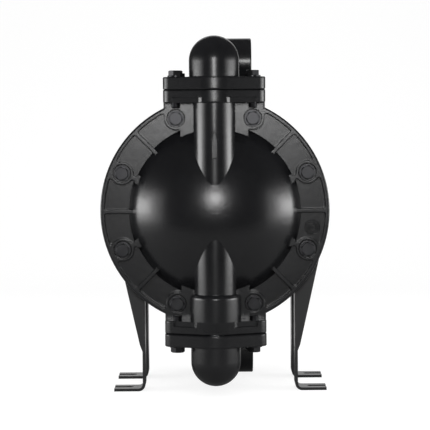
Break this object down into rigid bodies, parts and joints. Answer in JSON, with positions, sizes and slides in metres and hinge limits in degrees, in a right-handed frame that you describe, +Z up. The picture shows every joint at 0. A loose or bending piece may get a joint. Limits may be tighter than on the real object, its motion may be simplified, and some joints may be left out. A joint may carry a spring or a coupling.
{
  "type": "air operated diaphragm pump",
  "caption": "Free-standing air operated double-diaphragm pump with domed end caps, upper and lower port manifolds and sheet-metal legs, for moving liquid through pipework.",
  "frame": {"origin": "on the floor, straight under the middle of the pump", "axes": "+X towards the pipe ports, Y along the rod with the front end at -Y, +Z up"},
  "size_m": [0.405, 0.408, 0.636],
  "materials": {
    "coated_casting": "black satin coat over a fine cast surface",
    "coated_sheet": "black semi-gloss powder coat on bent sheet steel",
    "black_fastener": "dark coated steel, worn lighter on corners and some heads",
    "diaphragm_rubber": "matt moulded rubber",
    "seal_rubber": "smooth rubber",
    "gasket_sheet": "pressed fibre and rubber sheet",
    "plain_aluminium": "machined",
    "ground_steel": "ground",
    "brass": "turned",
    "muffler_plastic": "black moulded plastic",
    "muffler_felt": "pressed felt"
  },
  "bodies": {
    "pump": {"front_fluid_cap": "coated_casting", "front_air_cap": "coated_casting", "rear_fluid_cap": "coated_casting", "rear_air_cap": "coated_casting", "outlet_manifold": "coated_casting", "inlet_manifold": "coated_casting", "motor_body": "coated_casting", "valve_block": "coated_casting", "front_valve_cover": "coated_casting", "rear_valve_cover": "coated_casting", "front_left_leg": "coated_sheet", "front_right_leg": "coated_sheet", "rear_left_leg": "coated_sheet", "rear_right_leg": "coated_sheet", "front_cap_bolts": "black_fastener", "front_cap_washers": "black_fastener", "front_cap_nuts": "black_fastener", "rear_cap_bolts": "black_fastener", "rear_cap_washers": "black_fastener", "rear_cap_nuts": "black_fastener", "outlet_manifold_bolts": "black_fastener", "inlet_manifold_bolts": "black_fastener", "outlet_manifold_washers": "black_fastener", "inlet_manifold_washers": "black_fastener", "air_cap_screws": "black_fastener", "valve_cover_screws": "black_fastener", "valve_screws": "black_fastener", "front_rod_seal": "seal_rubber", "rear_rod_seal": "seal_rubber", "pilot_seals": "seal_rubber", "outlet_seat_seals": "seal_rubber", "inlet_seat_seals": "seal_rubber", "front_air_cap_gasket": "gasket_sheet", "rear_air_cap_gasket": "gasket_sheet", "valve_gasket": "gasket_sheet", "front_outlet_seat": "plain_aluminium", "front_inlet_seat": "plain_aluminium", "rear_outlet_seat": "plain_aluminium", "rear_inlet_seat": "plain_aluminium", "front_rod_bush": "brass", "rear_rod_bush": "brass", "valve_sleeve": "brass", "muffler_nipple": "brass", "muffler_body": "muffler_plastic", "muffler_core": "muffler_felt"},
    "rod": {"diaphragm_rod": "ground_steel", "front_inner_plate": "plain_aluminium", "front_outer_plate": "plain_aluminium", "front_plate_screw": "ground_steel", "front_diaphragm": "diaphragm_rubber", "rear_inner_plate": "plain_aluminium", "rear_outer_plate": "plain_aluminium", "rear_plate_screw": "ground_steel", "rear_diaphragm": "diaphragm_rubber"},
    "pilot": {"pilot_rod": "ground_steel"},
    "spool": {"valve_spool": "ground_steel"},
    "outlet_front_ball": {"front_outlet_ball": "diaphragm_rubber"},
    "outlet_rear_ball": {"rear_outlet_ball": "diaphragm_rubber"},
    "inlet_front_ball": {"front_inlet_ball": "diaphragm_rubber"},
    "inlet_rear_ball": {"rear_inlet_ball": "diaphragm_rubber"}
  },
  "joints": [
    {"name": "rod_stroke", "type": "slide", "parent": "pump", "child": "rod", "axis": [0, 1, 0], "range_m": [-0.014, 0.014], "deforming": ["front_diaphragm", "rear_diaphragm"]},
    {"name": "pilot_shift", "type": "slide", "parent": "pump", "child": "pilot", "axis": [0, 1, 0], "range_m": [-0.006, 0.006]},
    {"name": "spool_shift", "type": "slide", "parent": "pump", "child": "spool", "axis": [0, 1, 0], "range_m": [-0.007, 0.007]},
    {"name": "outlet_front_lift", "type": "slide", "parent": "pump", "child": "outlet_front_ball", "axis": [0, 0, 1], "range_m": [0, 0.012]},
    {"name": "outlet_rear_lift", "type": "slide", "parent": "pump", "child": "outlet_rear_ball", "axis": [0, 0, 1], "range_m": [0, 0.012]},
    {"name": "inlet_front_lift", "type": "slide", "parent": "pump", "child": "inlet_front_ball", "axis": [0, 0, 1], "range_m": [0, 0.012]},
    {"name": "inlet_rear_lift", "type": "slide", "parent": "pump", "child": "inlet_rear_ball", "axis": [0, 0, 1], "range_m": [0, 0.012]}
  ],
  "couplings": [
    {"joint": "pilot_shift", "follows": "rod_stroke", "ratio": 0.42857}
  ]
}
